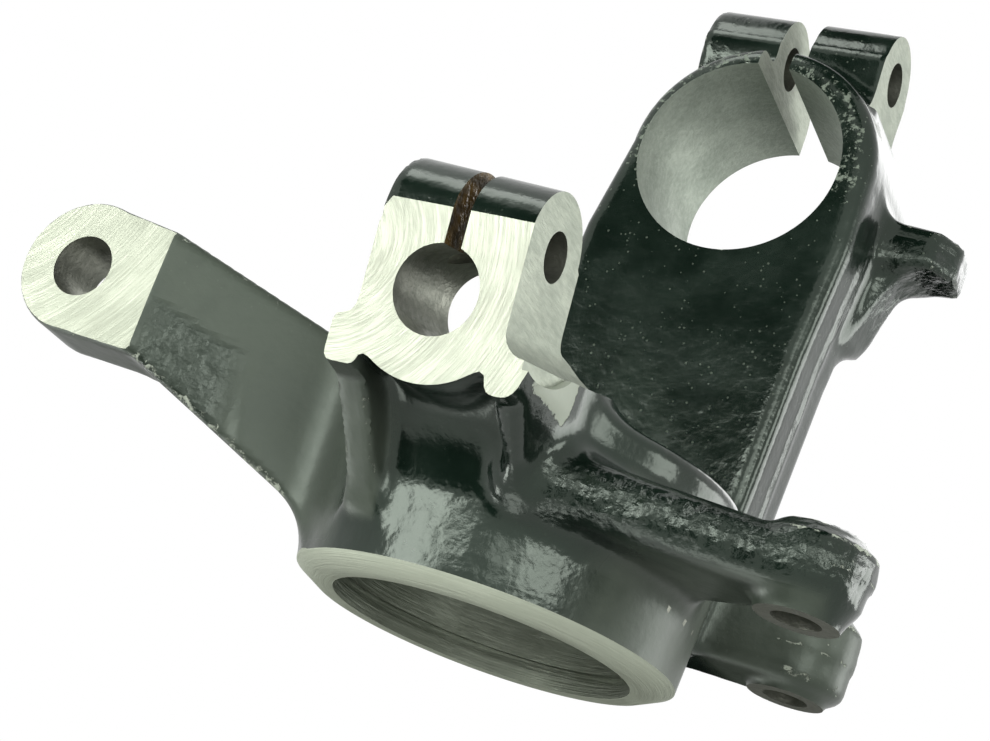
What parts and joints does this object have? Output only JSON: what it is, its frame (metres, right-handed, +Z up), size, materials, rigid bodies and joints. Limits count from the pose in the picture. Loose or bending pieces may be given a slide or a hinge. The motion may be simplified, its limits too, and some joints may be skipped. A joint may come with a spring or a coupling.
{
  "type": "steering knuckle",
  "caption": "Cast steering knuckle with hub bearing bore, split strut clamp with pinch lugs, split ball joint boss, steering arm with tie rod eye, and caliper ears.",
  "frame": {"origin": "centre of the hub bearing bore on its machined outboard face", "axes": "+Y inboard along the hub axis, +Z up along the strut clamp axis, +X towards the steering arm"},
  "size_m": [0.1974, 0.1834, 0.1573],
  "materials": {
    "casting": "gloss black paint over a cast skin, machined faces left bare"
  },
  "bodies": {
    "root": {"knuckle_casting": "casting"}
  },
  "joints": []
}
